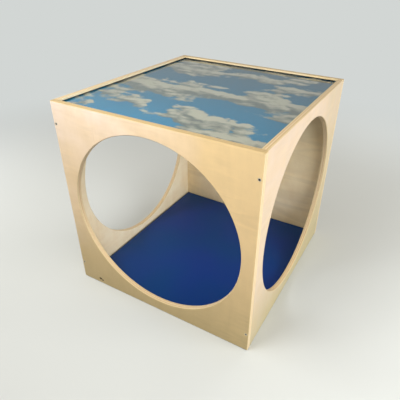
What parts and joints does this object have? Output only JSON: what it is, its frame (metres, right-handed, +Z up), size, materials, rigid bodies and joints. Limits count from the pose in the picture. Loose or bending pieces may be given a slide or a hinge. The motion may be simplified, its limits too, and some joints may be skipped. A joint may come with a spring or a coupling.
{
  "type": "playhouse cube",
  "caption": "Hollow plywood play cube with large round crawl openings in the front and both sides, a solid back, a clear top over a printed sky and a loose floor mat.",
  "frame": {"origin": "on the floor under the middle of the cube", "axes": "+Z up, front panel faces -Y, solid back faces +Y, the side openings face -X and +X"},
  "size_m": [0.724, 0.7626, 0.724],
  "materials": {
    "birch_plywood": "clear satin lacquer",
    "clear_acrylic": "polished, clear",
    "printed_sheet": "printed sky with clouds",
    "blue_vinyl": "satin vinyl cover over foam",
    "dark_steel": "dark plated",
    "beech": "plain"
  },
  "bodies": {
    "cube": {"front_panel": "birch_plywood", "back_panel": "birch_plywood", "left_panel": "birch_plywood", "right_panel": "birch_plywood", "sky_print": "printed_sheet", "sky_acrylic": "clear_acrylic", "front_screw_1": "dark_steel", "front_screw_2": "dark_steel", "front_screw_3": "dark_steel", "front_screw_4": "dark_steel", "back_screw_1": "dark_steel", "back_screw_2": "dark_steel", "back_screw_3": "dark_steel", "back_screw_4": "dark_steel", "front_dowel_1": "beech", "front_dowel_2": "beech", "front_dowel_3": "beech", "front_dowel_4": "beech", "back_dowel_1": "beech", "back_dowel_2": "beech", "back_dowel_3": "beech", "back_dowel_4": "beech"},
    "mat": {"floor_mat": "blue_vinyl"}
  },
  "joints": [
    {"name": "mat_lift", "type": "slide", "parent": "cube", "child": "mat", "axis": [0, 0, 1], "range_m": [0, 0.3]}
  ]
}
